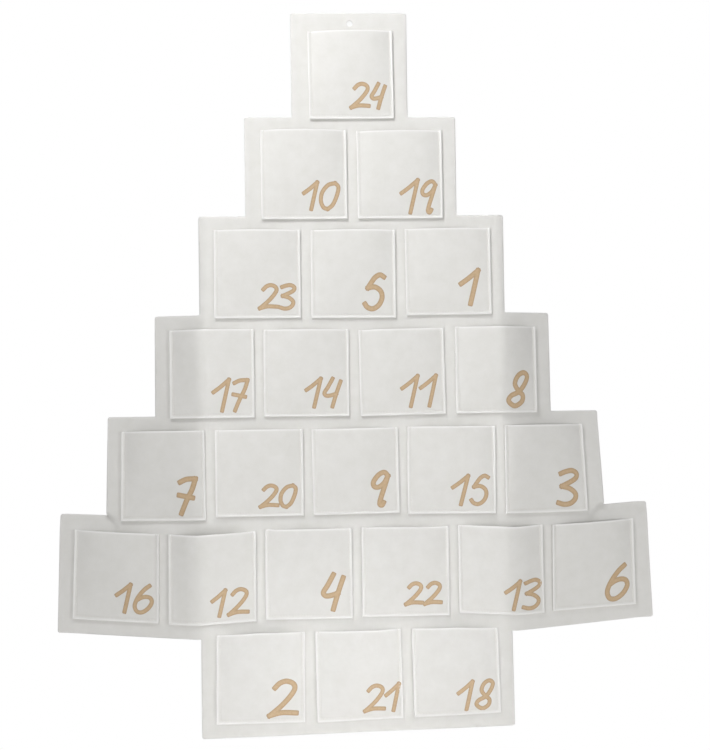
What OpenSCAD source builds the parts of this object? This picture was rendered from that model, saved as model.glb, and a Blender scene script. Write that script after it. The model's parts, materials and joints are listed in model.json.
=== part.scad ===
// Felt advent calendar: a stepped tree of white felt that hangs on a wall, with one
// sewn, open-topped pocket for each day. Its two side wings hang back along creases.
// The origin is on the axis of the hanging hole, at the back face of the centre
// panel. The front faces -Y and +Z is up. Sizes are in millimetres.

/* [Pockets] */
// Width of a pocket
pocket_w = 90; // [75:1:110]
// Height of a pocket
pocket_h = 91.5; // [76:0.5:110]
// Thickness of the pocket felt
pocket_t = 2.5; // [1.5:0.1:4]
// Bare felt between two pockets of a row
column_gap = 10; // [8:0.5:16]
// Bare felt between two rows of pockets
row_gap = 12; // [8:0.5:18]
// How far a pocket's mouth stands off the backing at its middle
mouth_gape = 6; // [4:0.5:16]

/* [Backing] */
// Thickness of the backing felt
backing_t = 2.5; // [1.5:0.1:4]
// Bare felt beside the outer pockets of a tier
side_margin = 15; // [10:0.5:24]
// Bare felt above the top pocket
top_margin = 19; // [16:0.5:30]
// Bare felt above the pockets of each lower tier
tier_margin = 14; // [12:0.5:20]
// Bare felt under the pockets at a bottom edge
bottom_margin = 14; // [8:0.5:24]
// Radius of the outer corners of the cut sheet
corner_r = 2.5; // [0.5:0.5:6]

/* [Hanging hole] */
// Diameter of the punched hole
hole_d = 6; // [3:0.5:10]
// Distance from the top edge down to the middle of the hole
hole_drop = 9; // [7:0.5:14]

/* [Creases] */
// Angle by which the left wing hangs back
left_fold = 10; // [0:1:60]
// Angle by which the right wing hangs back
right_fold = 10; // [0:1:60]
// Length of pocket felt that bends round a crease
bend_length = 16; // [8:1:24]
// Gap between two panels at their crease
crease_gap = 0.3; // [0.2:0.05:0.6]

/* [Sewing] */
// Distance from the cut edge of a pocket to its stitch line
seam_inset = 3.5; // [2.5:0.5:6]
// Width of the row of sewing thread
thread_w = 0.8; // [0.4:0.1:1.4]
// Height of the row of sewing thread
thread_h = 0.5; // [0.3:0.1:1]
// Room between two layers that are sewn together
ply_gap = 0.1; // [0.05:0.05:0.3]

/* [Hidden] */
// Day numbers of the pockets, tier by tier from the top of the tree to its trunk
DAYS = [
    [24],
    [10, 19],
    [23, 5, 1],
    [17, 14, 11, 8],
    [7, 20, 9, 15, 3],
    [16, 12, 4, 22, 13, 6],
    [2, 21, 18]
];
TRUNK = len(DAYS) - 1;
// The wings are the ends of the tiers that are wider than the trunk
WING_TIERS = [for (tier = [0 : TRUNK]) if (len(DAYS[tier]) > len(DAYS[TRUNK])) tier];
LAST_WING_TIER = WING_TIERS[len(WING_TIERS) - 1];

felt_white = "#F1F0EC";
pocket_white = "#F5F4F0";
thread_white = "#DEDAD0";

column_pitch = pocket_w + column_gap;
row_pitch = pocket_h + row_gap;
trunk_half = half_width(TRUNK);
// A crease runs down each side of the trunk, in the middle of the gap between panels
crease_u = trunk_half + crease_gap / 2;
// A wing turns about a line just behind the back faces of the two panels
crease_y = crease_gap / 2;

// Flat strip along a sewn edge, a little wider than the stitch line needs
seam_strip = seam_inset + thread_w / 2 + 1;
// Steps of the pocket grid across and up
across_steps = 8;
up_steps = 5;
// How full the bow is across a pocket, and how quickly it rises from the bottom seam
across_power = 2.6;
rise_power = 1.8;
// Least distance between two columns of the pocket grid
column_room = 1;
cut_margin = 1;

function day_name(kind, day) = str(kind, "_", day < 10 ? "0" : "", day);

// Half the width of a tier of the flat sheet
function half_width(tier) =
    (len(DAYS[tier]) * column_pitch - column_gap) / 2 + side_margin;

// Heights of a tier's pockets and of the felt that carries them
function pocket_top(tier) = hole_drop - top_margin - tier * row_pitch;
function pocket_bottom(tier) = pocket_top(tier) - pocket_h;
function tier_top(tier) = pocket_top(tier) + (tier == 0 ? top_margin : tier_margin);
function tier_bottom(tier) =
    tier == LAST_WING_TIER || tier == TRUNK
    ? pocket_bottom(tier) - bottom_margin
    : min(pocket_bottom(tier), tier_top(tier + 1));

// Left edge of a pocket on the flat sheet
function pocket_left(tier, column) =
    (column - (len(DAYS[tier]) - 1) / 2) * column_pitch - pocket_w / 2;

// Ease from 0 to 1 with no corner at either end
function eased(part) =
    let (held = max(0, min(1, part)))
    held * held * (3 - 2 * held);

// Angle by which felt at flat distance u from the middle has turned round its crease
function turn_at(u) =
    sign(u) * (u < 0 ? left_fold : right_fold)
    * eased((abs(u) - crease_u) / bend_length + 0.5);

// Place in space of a point of the felt: u across, front the distance from the back face
function place(u, front, z) =
    let (
        axis_x = sign(u) * crease_u,
        turn = turn_at(u),
        arm = front + crease_y
    )
    [
        axis_x + (u - axis_x) * cos(turn) + arm * sin(turn),
        crease_y + (u - axis_x) * sin(turn) - arm * cos(turn),
        z
    ];

// Numbers of a list in rising order
function sorted(list) =
    len(list) < 2 ? list :
    let (pivot = list[floor(len(list) / 2)])
    concat(
        sorted([for (x = list) if (x < pivot) x]),
        [pivot],
        sorted([for (x = list) if (x > pivot) x])
    );

// Whether the felt at flat distance u from the middle bends round a crease
function bends_at(u) = abs(abs(u) - crease_u) < bend_length / 2 + column_room;

// Columns that follow a crease, where one crosses the felt and leaves its edges clear
function bend_columns(edges) = [
    for (side = [-1, 1])
        for (i = [-2 : 2])
            let (u = side * crease_u + i * bend_length / 4)
            if (u > min(edges) && u < max(edges))
                if (min([for (edge = edges) abs(u - edge)]) > column_room) u
];

// Columns across a pocket: the edges of its two sewn strips, even steps between them,
// and finer steps at a crease
function columns(left, right) =
    let (
        edges = [left, left + seam_strip, right - seam_strip, right],
        step = (right - left - 2 * seam_strip) / across_steps,
        even = [for (i = [1 : across_steps - 1]) left + seam_strip + i * step],
        plain = [for (u = even) if (!bends_at(u)) u]
    )
    sorted(concat(edges, plain, bend_columns(edges)));

// Gap between the backing and a pocket's inner face, none on the sewn strips
function bow(u, left, right, z, bottom, top) =
    let (
        across = (2 * u - left - right) / (right - left - 2 * seam_strip),
        up = (z - bottom - seam_strip) / (top - bottom - seam_strip),
        still_up = max(0, 1 - up)
    )
    abs(across) >= 1 || up <= 0 ? 0 :
    mouth_gape * (1 - pow(abs(across), across_power)) * (1 - pow(still_up, rise_power));

// Outline cutter that rounds one corner, turned by quarters from the lower left one
module corner_trim(u, z, quarter)
    translate([u, z])
        rotate(90 * quarter)
            difference() {
                translate([-cut_margin, -cut_margin])
                    square(corner_r + cut_margin);
                translate([corner_r, corner_r])
                    circle(corner_r, $fn = 48);
            }

// Flat outline of the sheet between the two creases
module centre_outline()
    difference() {
        for (tier = [0 : TRUNK]) {
            half = min(half_width(tier), trunk_half);
            translate([-half, tier_bottom(tier)])
                square([2 * half, tier_top(tier) - tier_bottom(tier)]);
        }
        for (tier = [0 : WING_TIERS[0] - 1]) {
            corner_trim(half_width(tier), tier_top(tier), 2);
            corner_trim(-half_width(tier), tier_top(tier), 3);
        }
        corner_trim(trunk_half, tier_bottom(TRUNK), 1);
        corner_trim(-trunk_half, tier_bottom(TRUNK), 0);
    }

// Flat outline of the right wing, stepped like the tiers that it continues
module wing_outline()
    difference() {
        for (tier = WING_TIERS)
            translate([crease_u + crease_gap / 2, tier_bottom(tier)])
                square([
                    half_width(tier) - crease_u - crease_gap / 2,
                    tier_top(tier) - tier_bottom(tier)
                ]);
        for (tier = WING_TIERS)
            corner_trim(half_width(tier), tier_top(tier), 2);
        corner_trim(half_width(LAST_WING_TIER), tier_bottom(LAST_WING_TIER), 1);
    }

// Felt sheet of an outline, its back face on the plane y = 0
module felt_sheet()
    rotate([90, 0, 0])
        linear_extrude(backing_t)
            children();

// Turns a flat wing back about its crease, side 1 for the right and -1 for the left
module hang_back(side, fold)
    translate([side * crease_u, crease_y, 0])
        rotate([0, 0, side * fold])
            translate([-side * crease_u, -crease_y, 0])
                children();

module backing_centre()
    color(felt_white)
        difference() {
            felt_sheet()
                centre_outline();
            rotate([90, 0, 0])
                translate([0, 0, -cut_margin])
                    cylinder(d = hole_d, h = backing_t + 2 * cut_margin, $fn = 64);
        }

module backing_left_wing()
    color(felt_white)
        hang_back(-1, left_fold)
            felt_sheet()
                mirror([1, 0, 0])
                    wing_outline();

module backing_right_wing()
    color(felt_white)
        hang_back(1, right_fold)
            felt_sheet()
                wing_outline();

// One pocket: a felt panel, flat on its three sewn strips and bowed out at its mouth
module pocket(tier, column) {
    left = pocket_left(tier, column);
    right = left + pocket_w;
    bottom = pocket_bottom(tier);
    top = pocket_top(tier);
    us = columns(left, right);
    rise = top - bottom - seam_strip;
    zs = concat([bottom], [for (j = [0 : up_steps]) bottom + seam_strip + rise * j / up_steps]);
    nu = len(us);
    nz = len(zs);
    seat = backing_t + ply_gap;
    points = [
        for (layer = [seat + pocket_t, seat])
            for (u = us)
                for (z = zs)
                    place(u, layer + bow(u, left, right, z, bottom, top), z)
    ];
    rim = concat(
        [for (j = [0 : nz - 2]) j],
        [for (i = [0 : nu - 2]) i * nz + nz - 1],
        [for (j = [nz - 1 : -1 : 1]) (nu - 1) * nz + j],
        [for (i = [nu - 1 : -1 : 1]) i * nz]
    );
    cells = [for (i = [0 : nu - 2]) for (j = [0 : nz - 2]) i * nz + j];
    outer = [for (a = cells) each [[a, a + 1, a + nz + 1], [a, a + nz + 1, a + nz]]];
    back = nu * nz;
    inner = [for (face = outer) [face[2] + back, face[1] + back, face[0] + back]];
    edge = [
        for (k = [0 : len(rim) - 1])
            let (a = rim[k], b = rim[(k + 1) % len(rim)])
            each [[b, a, a + back], [b, a + back, b + back]]
    ];
    color(pocket_white)
        polyhedron(points, concat(outer, inner, edge), convexity = 6);
}

// The thread that sews a pocket down: one run along its left, bottom and right strips
module seam(tier, column) {
    left = pocket_left(tier, column);
    right = left + pocket_w;
    top = pocket_top(tier);
    low = pocket_bottom(tier) + seam_inset;
    start = left + seam_inset;
    end = right - seam_inset;
    // Along the bottom, the thread bends at the same columns as its pocket
    turns = [
        for (u = columns(left, right))
            if (bends_at(u) && u > start + thread_w && u < end - thread_w) u
    ];
    // Each stop has its place on the flat sheet and the way that is outward there
    stops = concat(
        [[start, top, -1, 0], [start, low, -1, -1]],
        [for (u = turns) [u, low, 0, -1]],
        [[end, low, 1, -1], [end, top, 1, 0]]
    );
    seat = backing_t + pocket_t + 2 * ply_gap;
    // Corners of the thread's section: inner and outer side, low and high
    corners = [[-1, 0], [1, 0], [1, thread_h], [-1, thread_h]];
    points = [
        for (stop = stops)
            for (corner = corners)
                let (aside = corner[0] * thread_w / 2)
                place(stop[0] + stop[2] * aside, seat + corner[1], stop[1] + stop[3] * aside)
    ];
    last = 4 * (len(stops) - 1);
    walls = [
        for (k = [0 : len(stops) - 2])
            for (c = [0 : 3])
                let (a = 4 * k + c, b = 4 * k + (c + 1) % 4)
                each [[a, b, b + 4], [a, b + 4, a + 4]]
    ];
    ends = [[2, 1, 0], [3, 2, 0], [last, last + 1, last + 2], [last, last + 2, last + 3]];
    color(thread_white)
        polyhedron(points, concat(walls, ends), convexity = 4);
}

backing_centre();
backing_left_wing();
backing_right_wing();
for (tier = [0 : TRUNK])
    for (column = [0 : len(DAYS[tier]) - 1]) {
        day = DAYS[tier][column];
        pocket(tier, column);
        seam(tier, column);
    }
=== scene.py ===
# %% [markdown]
# # A felt advent calendar
# The real calendar is one sheet of white felt, cut as a stepped tree and hung by a punched hole.
# A square of felt is sewn on for each of 24 days, open at the top, with the day's number printed
# on it. Both ends of the wide tiers hang back along a packing crease.
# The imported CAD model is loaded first. It fixes every size and says which piece moves with which
# body, so all that is made here is laid out from it.

import json
import math

import bpy
import numpy as np
from mathutils import Matrix, Vector, noise
from mathutils.bvhtree import BVHTree
from mathutils.geometry import delaunay_2d_cdt


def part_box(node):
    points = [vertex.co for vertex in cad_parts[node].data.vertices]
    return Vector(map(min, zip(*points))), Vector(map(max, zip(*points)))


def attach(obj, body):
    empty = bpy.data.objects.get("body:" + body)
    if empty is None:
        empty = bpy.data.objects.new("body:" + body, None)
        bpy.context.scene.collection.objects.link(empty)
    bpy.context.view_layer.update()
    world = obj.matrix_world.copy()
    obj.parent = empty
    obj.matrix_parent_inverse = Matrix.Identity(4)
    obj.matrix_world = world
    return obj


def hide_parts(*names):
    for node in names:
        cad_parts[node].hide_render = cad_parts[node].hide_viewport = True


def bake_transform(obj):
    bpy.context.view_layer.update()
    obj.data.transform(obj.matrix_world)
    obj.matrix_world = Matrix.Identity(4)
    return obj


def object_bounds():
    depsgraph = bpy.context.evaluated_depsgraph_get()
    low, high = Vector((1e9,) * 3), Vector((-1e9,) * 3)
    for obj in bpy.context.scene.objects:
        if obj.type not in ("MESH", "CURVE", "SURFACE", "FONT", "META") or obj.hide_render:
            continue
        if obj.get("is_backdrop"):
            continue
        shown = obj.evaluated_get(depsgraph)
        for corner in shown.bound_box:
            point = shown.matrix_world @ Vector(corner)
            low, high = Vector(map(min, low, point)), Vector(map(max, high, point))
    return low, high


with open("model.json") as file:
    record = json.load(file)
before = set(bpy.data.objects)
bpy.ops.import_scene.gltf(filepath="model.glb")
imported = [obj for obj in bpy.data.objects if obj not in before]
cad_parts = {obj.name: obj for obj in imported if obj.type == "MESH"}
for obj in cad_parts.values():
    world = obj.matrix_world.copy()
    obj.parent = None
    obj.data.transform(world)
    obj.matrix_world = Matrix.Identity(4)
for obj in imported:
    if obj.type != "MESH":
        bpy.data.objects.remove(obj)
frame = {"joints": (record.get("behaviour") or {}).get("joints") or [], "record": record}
cad_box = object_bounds()

# %% [markdown]
# ## Sizes
# The hanging hole gives the thickness of the felt, because it is punched right through. Three
# pockets give the pitch of the columns and rows, and the fold joint gives the place of the crease.

# %% Read the sizes from the frame
MM = 0.001
mounts = {mount["name"]: mount["dims"] for mount in frame["record"]["mounts"]}
hole_radius = mounts["hang_hole"]["r_mm"] * MM
felt_t = mounts["hang_hole"]["length_mm"] * MM

top_low, top_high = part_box("pocket_24")
sheet_low, sheet_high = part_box("backing_centre")
pocket_w = top_high.x - top_low.x
pocket_h = top_high.z - top_low.z
pocket_seat = -top_high.y
pocket_gape = top_high.y - top_low.y - felt_t
column_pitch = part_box("pocket_19")[0].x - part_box("pocket_10")[0].x
row_pitch = top_high.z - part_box("pocket_10")[1].z
column_gap = column_pitch - pocket_w
trunk_half = sheet_high.x

fold = next(joint for joint in frame["joints"] if joint["name"] == "right_wing_fold")
crease_x, crease_y = fold["pos_m"][:2]
print("pocket", round(pocket_w / MM, 2), "x", round(pocket_h / MM, 2), "mm of", felt_t / MM, "mm felt")

# %% [markdown]
# ## The cutting plan
# Everything is laid out flat first, as on the cutting table: u runs across the sheet and z up it,
# with the hanging hole at (0, 0). The days are listed tier by tier from the top of the tree.

# %% Lay out the tiers and the pockets
DAYS = [
    [24],
    [10, 19],
    [23, 5, 1],
    [17, 14, 11, 8],
    [7, 20, 9, 15, 3],
    [16, 12, 4, 22, 13, 6],
    [2, 21, 18],
]
TRUNK = len(DAYS) - 1
side_margin = trunk_half - (len(DAYS[TRUNK]) * column_pitch - column_gap) / 2
tier_half = [(len(row) * column_pitch - column_gap) / 2 + side_margin for row in DAYS]
pocket_top = [top_high.z - tier * row_pitch for tier in range(len(DAYS))]
wing_low, wing_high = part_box("backing_right_wing")
FIRST_WING = 3
tier_margin = wing_high.z - pocket_top[FIRST_WING]
tier_top = [sheet_high.z] + [top + tier_margin for top in pocket_top[1:]]
wing_bottom = wing_low.z
trunk_bottom = sheet_low.z

pocket_places = {}
for tier, row in enumerate(DAYS):
    for column, day in enumerate(row):
        middle = (column - (len(row) - 1) / 2) * column_pitch
        pocket_places[day] = (middle, pocket_top[tier] - pocket_h)
print(len(pocket_places), "pockets, widest tier", round(2 * max(tier_half) / MM), "mm")

# %% [markdown]
# ## How the felt hangs
# Real felt is not a flat board. The wings turn back at the creases, more at the top than further
# down, a tuck crosses them between the last two wide tiers, and the trunk leans forward a little.
# Behind the mouth of a pocket nothing holds the sheet, so it gives way there, which makes the mouth
# look dark. One function takes a point of the flat plan, with its distance in front of the sheet's
# back face, to its place in space. The backing, the pockets, the stitches and the numbers all go
# through it, so they stay together.

# %% Fold and drape the flat plan
# Two lists side by side are for the left half of the sheet and for the right
# How far inside the straight crease the felt bends above the tuck, by depth, and outside it below
CREASE_DEPTHS = [0.32, 0.355, 0.385, 0.45]
CREASES = [7 * MM, 9 * MM, 10 * MM, 10 * MM], [6 * MM, 6 * MM, 7 * MM, 7 * MM]
CREASE_BELOW = 13 * MM
CREASE_WIDTH = 4 * MM
# Degrees that the wings are turned back, by depth, above the tuck and below it
DEPTHS_ABOVE, DEPTHS_BELOW = [0.30, 0.42, 0.51], [0.53, 0.64]
TURNS_ABOVE = [17, 13.5, 9.2], [18, 15, 8.5]
TURNS_BELOW = [11.5, 7.5], [9, 6]
# The tuck lies between two heights, which both rise towards its outer ends
TUCK_HIGH, TUCK_LOW = -0.512, -0.531
TUCK_END, HIGH_RISE, LOW_RISE = 20 * MM, 5.5 * MM, 18.5 * MM
# How far the felt below the tuck is pulled up, by distance from the middle
PULL_AT = [0.10, 0.165, 0.30]
PULLS = [0, -3.7 * MM, 2.5 * MM], [0, -3.7 * MM, 5 * MM]
TRUNK_TILT, TRUNK_START = 0.015, 20 * MM
LEAN, LEAN_START, LEAN_LENGTH = 10 * MM, -0.52, 0.26
WAVE, CALM_WIDTH = 0.7 * MM, 0.04
RIDGE, RIDGE_WIDTH, RIDGE_START, RIDGE_LENGTH = 2.5 * MM, 11 * MM, 9 * MM, 30 * MM
CURL, CURL_WIDTH = 0.35, 0.1
# By day, how far the sheet gives way in mm where that is more than elsewhere, most just below the mouth
PUSHED_BACK = {12: 3.6, 13: 3.2, 6: 1.8, 2: 3, 21: 1.5, 18: 1.5}
PUSHED_ELSEWHERE = 0.6
MOUTH_REACH, MOUTH_DEPTH, MOUTH_HALF = 8 * MM, 5 * MM, 0.45 * pocket_w
PUSH_FADE = 2 * MM


def eased(part):
    held = np.clip(part, 0, 1)
    return held * held * (3 - 2 * held)


def by_side(u, at, places, lines):
    """Values read off two lines of points, one for each half of the sheet."""
    return np.where(u < 0, *(np.interp(at, places, line) for line in lines))


def below_tuck(u, z):
    """Nothing above the tuck and one below it. The tuck narrows to the step at the outer ends."""
    outer = eased((np.abs(u) - tier_half[TRUNK - 2] + side_margin) / TUCK_END)
    high = TUCK_HIGH + HIGH_RISE * outer
    low = TUCK_LOW + LOW_RISE * outer
    return eased((high - z) / (high - low))


def wing_turn(u, z):
    """Turn of a wing in radians."""
    above = by_side(u, -z, DEPTHS_ABOVE, TURNS_ABOVE)
    below = by_side(u, -z, DEPTHS_BELOW, TURNS_BELOW)
    return np.radians(above + (below - above) * below_tuck(u, z))


def forward(u, z):
    """How far the felt stands forward of its plane."""
    lean = eased((LEAN_START - z) / LEAN_LENGTH)
    # Shallow waves, 0.15 to 0.3 m long, that die out at the creases
    calm = eased(np.abs(np.abs(u) - crease_x) / CALM_WIDTH)
    wave = np.sin(27 * u + 1.3) * np.sin(19 * z + 0.6) + 0.5 * np.sin(43 * u - 31 * z)
    # A short ridge below the tuck, where the sheet is held between two mouths
    below_mouths = pocket_top[TRUNK - 1] - z
    ridge = np.exp(-(((np.abs(u) - 2 * column_pitch) / RIDGE_WIDTH) ** 2))
    ridge = ridge * eased(1 + below_mouths / RIDGE_START)
    ridge = ridge * np.exp(-np.clip(below_mouths, 0, 1) / RIDGE_LENGTH)
    # The right wing curls forward above the tuck
    curl = CURL * np.clip(u - crease_x, 0, CURL_WIDTH) ** 2 * (1 - below_tuck(u, z))
    return LEAN * lean + WAVE * calm * wave + RIDGE * ridge + curl


def raised(u, z):
    """How far the last tiers are pulled up or down in the sheet's own plane."""
    pulled = by_side(u, np.abs(u), PULL_AT, PULLS)
    trunk = eased((wing_bottom - z) / TRUNK_START)
    return below_tuck(u, z) * pulled * (1 - trunk) + TRUNK_TILT * u * trunk


def pushed_back(u, front, z):
    """How far the sheet gives way behind the mouths. The pockets, which lie in front, do not."""
    depth = 0
    for day, (middle, bottom) in pocket_places.items():
        width = np.clip(1 - ((u - middle) / MOUTH_HALF) ** 2, 0, 1)
        off_mouth = (z - bottom - pocket_h + MOUTH_DEPTH) / MOUTH_REACH
        depth = depth + PUSHED_BACK.get(day, PUSHED_ELSEWHERE) * MM * width * np.exp(-(off_mouth**2))
    return depth * np.clip(1 - (front - felt_t) / PUSH_FADE, 0, 1)


def hang(u, front, z):
    """Place in space of points of the flat plan, front being the distance from the back face."""
    side = np.sign(u)
    inside = by_side(u, -z, CREASE_DEPTHS, CREASES)
    crease = side * (crease_x - inside + (inside + CREASE_BELOW) * below_tuck(crease_x, z))
    turn = side * wing_turn(u, z) * eased((np.abs(u) - np.abs(crease)) / CREASE_WIDTH + 0.5)
    arm = front + crease_y
    x = crease + (u - crease) * np.cos(turn) + arm * np.sin(turn)
    y = crease_y + (u - crease) * np.sin(turn) - arm * np.cos(turn)
    y = y - forward(u, z) + pushed_back(u, front, z)
    return np.column_stack([x, y, z + raised(u, z)])


wing_tip = hang(np.array([tier_half[TRUNK - 1]]), 0, np.array([wing_bottom]))[0]
print("lower wing tip hangs at", (wing_tip / MM).round(1).tolist(), "mm")

# %% [markdown]
# ## Materials
# One function adds a node with its settings and its links, for materials and for geometry alike.
# Colours are written as sRGB hex values, as a paint program shows them, and turned to linear once.

# %% Node and colour helpers
MIX_A, MIX_B, MIX_OUT = 6, 7, 2  # the colour sockets of a Mix node, which repeats its socket names


def add_node(tree, kind, inputs=None, **settings):
    node = tree.nodes.new(kind)
    for name, value in settings.items():
        setattr(node, name, value)
    for key, value in (inputs or {}).items():
        if isinstance(value, bpy.types.NodeSocket):
            tree.links.new(value, node.inputs[key])
        else:
            node.inputs[key].default_value = value
    return node


def linear(hex_colour):
    parts = [int(hex_colour[i : i + 2], 16) / 255 for i in (1, 3, 5)]
    return [c / 12.92 if c <= 0.04045 else ((c + 0.055) / 1.055) ** 2.4 for c in parts] + [1.0]


def new_material(name):
    material = bpy.data.materials.new(name)
    material.use_nodes = True
    material.node_tree.nodes.clear()
    return material, material.node_tree


def end_material(tree, finish):
    """Ends a material with one shader that has the given finish."""
    shader = add_node(tree, "ShaderNodeBsdfPrincipled", finish)
    add_node(tree, "ShaderNodeOutputMaterial", {"Surface": shader.outputs[0]})


def mottled(tree, size, roughness, low, high, edge, edge_name):
    """Noise in spots of a size, and two colours mixed by it, with a third along an edge."""
    place = add_node(tree, "ShaderNodeTexCoord").outputs["Object"]
    grain = {"Vector": place, "Scale": 1 / size, "Detail": 4, "Roughness": roughness}
    clouds = add_node(tree, "ShaderNodeTexNoise", grain).outputs[0]
    spread = {"Value": clouds, "From Min": 0.3, "From Max": 0.7}
    tone = add_node(tree, "ShaderNodeMapRange", spread).outputs[0]
    mixed = {0: tone, MIX_A: linear(low), MIX_B: linear(high)}
    body = add_node(tree, "ShaderNodeMix", mixed, data_type="RGBA").outputs[MIX_OUT]
    near = add_node(tree, "ShaderNodeAttribute", attribute_name=edge_name).outputs["Fac"]
    edged = {0: near, MIX_A: body, MIX_B: linear(edge)}
    return clouds, add_node(tree, "ShaderNodeMix", edged, data_type="RGBA").outputs[MIX_OUT]


print("middle grey is", round(linear("#808080")[0], 3), "in linear light")

# %% [markdown]
# ### White felt
# Felt is matted fibre with no weave: dead matt, a little cloudy where the fibres lie denser, with a
# soft sheen at grazing angles. A real fibre is about 0.03 mm thick, far too fine to show here, so
# the fibres are drawn as bundles of about 0.9 mm. Near the cut edge the colour is painted whiter, a
# painted highlight for the bright line that light makes along it, and the meshes carry an attribute
# that says how near the edge a point is.

# %% Felt for the backing and for the pockets
FIBRE_BUNDLE = 0.9 * MM
CLOUD = 14 * MM


def felt_material(name, cloud, face, edge):
    material, tree = new_material(name)
    _, colour = mottled(tree, CLOUD, 0.65, cloud, face, edge, "painted_edge_highlight")
    place = add_node(tree, "ShaderNodeTexCoord").outputs["Object"]
    strands = []
    for turn in (0.6, -0.9):
        lay = {"Vector": place, "Rotation": (0, turn, 0), "Scale": (1, 1, 0.3)}
        laid = add_node(tree, "ShaderNodeMapping", lay).outputs[0]
        grain = {"Vector": laid, "Scale": 1 / FIBRE_BUNDLE, "Detail": 3, "Roughness": 0.6}
        strands.append(add_node(tree, "ShaderNodeTexNoise", grain).outputs[0])
    fibres = add_node(tree, "ShaderNodeMath", dict(enumerate(strands)), operation="MAXIMUM")
    relief = {"Height": fibres.outputs[0], "Strength": 0.35, "Distance": 0.25 * MM}
    finish = {
        "Base Color": colour,
        "Normal": add_node(tree, "ShaderNodeBump", relief).outputs[0],
        "Roughness": 0.95,
        "Specular IOR Level": 0.2,
        "Sheen Weight": 0.08,
        "Sheen Roughness": 0.6,
    }
    end_material(tree, finish)
    return material


# The backing is the same felt as the pockets, drawn a little darker: painted shade for the sheet lying
# back between the pockets
# The last colour of each felt is a painted highlight along its cut edge
backing_felt = felt_material("backing felt", "#E3E2DE", "#E8E7E4", "#EFEEEC")
pocket_felt = felt_material("pocket felt", "#E5E4E0", "#EAE9E6", "#FDFCFB")
print("felts:", backing_felt.name, "and", pocket_felt.name)

# %% [markdown]
# ### Sewing thread and printed numbers
# The thread is white spun polyester, a little smoother than the felt. The numbers are tan textile
# ink: it soaks into the fibres, so it is matt and a little blotchy where a fibre took less of it. It
# dries darkest along the edge of a stroke, so the meshes carry an attribute named stroke_edge.

# %% Thread and ink
INK_BLOTCH = 2.2 * MM


def thread_material():
    material, tree = new_material("spun polyester thread")
    place = add_node(tree, "ShaderNodeTexCoord").outputs["Object"]
    twist = {"Vector": place, "Scale": 1 / (1.2 * MM), "Detail": 2}
    plies = add_node(tree, "ShaderNodeTexNoise", twist).outputs[0]
    mixed = {0: plies, MIX_A: linear("#DEDCD7"), MIX_B: linear("#EFEDE9")}
    finish = {
        "Base Color": add_node(tree, "ShaderNodeMix", mixed, data_type="RGBA").outputs[MIX_OUT],
        "Roughness": 0.6,
        "Sheen Weight": 0.1,
    }
    end_material(tree, finish)
    return material


def ink_material():
    material, tree = new_material("tan textile ink")
    soaked, colour = mottled(tree, INK_BLOTCH, 0.7, "#D6BD9C", "#C9AD89", "#BA9F82", "stroke_edge")
    relief = {"Height": soaked, "Strength": 0.3, "Distance": 0.15 * MM}
    finish = {
        "Base Color": colour,
        "Normal": add_node(tree, "ShaderNodeBump", relief).outputs[0],
        "Roughness": 0.9,
        "Specular IOR Level": 0.2,
    }
    end_material(tree, finish)
    return material


thread = thread_material()
ink = ink_material()
print("materials:", thread.name, "and", ink.name)

# %% [markdown]
# ## Bodies
# The CAD record says which body carries each pocket, and which pockets bend round a crease. A piece
# that belongs to one body rides on it. A piece that crosses a crease keeps the bent shape of the
# hung sheet and stays fixed in place, on no body.

# %% Carry each piece on its body
bodies = frame["record"]["behaviour"]["bodies"]
body_of_node = {node: body for body, nodes in bodies.items() for node in nodes}
joint_of_node = {}
for joint in frame["joints"]:
    for bending in joint["deforming_nodes"]:
        joint_of_node[bending["node"]] = joint


def bend_across(piece):
    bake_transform(piece)


def carry(piece, node):
    if node in joint_of_node:
        bend_across(piece)
    else:
        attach(piece, body_of_node[node])


def add_object(name, data):
    made = bpy.data.objects.new(name, data)
    bpy.context.scene.collection.objects.link(made)
    return made


print(len(joint_of_node), "CAD nodes bend round a crease")

# %% [markdown]
# ## The backing sheet
# The sheet is cut with shears from one piece of felt: straight steps, slightly rounded corners and a
# punched hole. A Delaunay triangulation fills the cut line with points, so that the sheet can bend.
# Rows of points just inside the line let the edge be rounded, as soft felt is.
# It is split into three strips, because a piece can bend across one crease only. Both splits run
# mostly behind pockets, and the strips share their points there, so no step shows.

# %% Draw the cut line
CORNER_R = 2.5 * MM
SHARPEST_R = 0.4 * MM
SPLIT = 0.12
EDGE_STEP = 2.5 * MM
SHEET_STEP = 3 * MM
LEFT_DROOP, RIGHT_DROOP = 2 * MM, 0.8 * MM
# How much further out each tier was cut by hand than planned, in mm: left, right and top
HAND_CUT = [(2, 0, 2), (1.5, 0, 0.7), (0, -1, 0.7), (-1, 0.5, 1.7), (0.5, 5, 1), (1, 4, 2), (2, 0.5, 0)]
cut_left, cut_right, cut_top = np.array([tier_half, tier_half, tier_top]) + np.transpose(HAND_CUT) * MM


def side_corners(edge, droop, inset):
    """Corners of one side of the tree from the bottom up, and whether each points outwards."""
    corners = [
        (edge[TRUNK], trunk_bottom + inset, True),
        (edge[TRUNK], wing_bottom - droop + inset, False),
        (edge[TRUNK - 1], wing_bottom + inset, True),
    ]
    for tier in range(TRUNK - 1, -1, -1):
        corners.append((edge[tier], cut_top[tier] - inset, True))
        if tier:
            corners.append((edge[tier - 1], cut_top[tier] - inset, False))
    return corners


def stepped_line(inset):
    """The cut line of the tree, moved inwards, anticlockwise from the lower right corner."""
    right = side_corners(cut_right - inset, RIGHT_DROOP, inset)
    left = side_corners(inset - cut_left, LEFT_DROOP, inset)
    return soften(right + left[::-1], max(CORNER_R - inset, SHARPEST_R))


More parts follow.
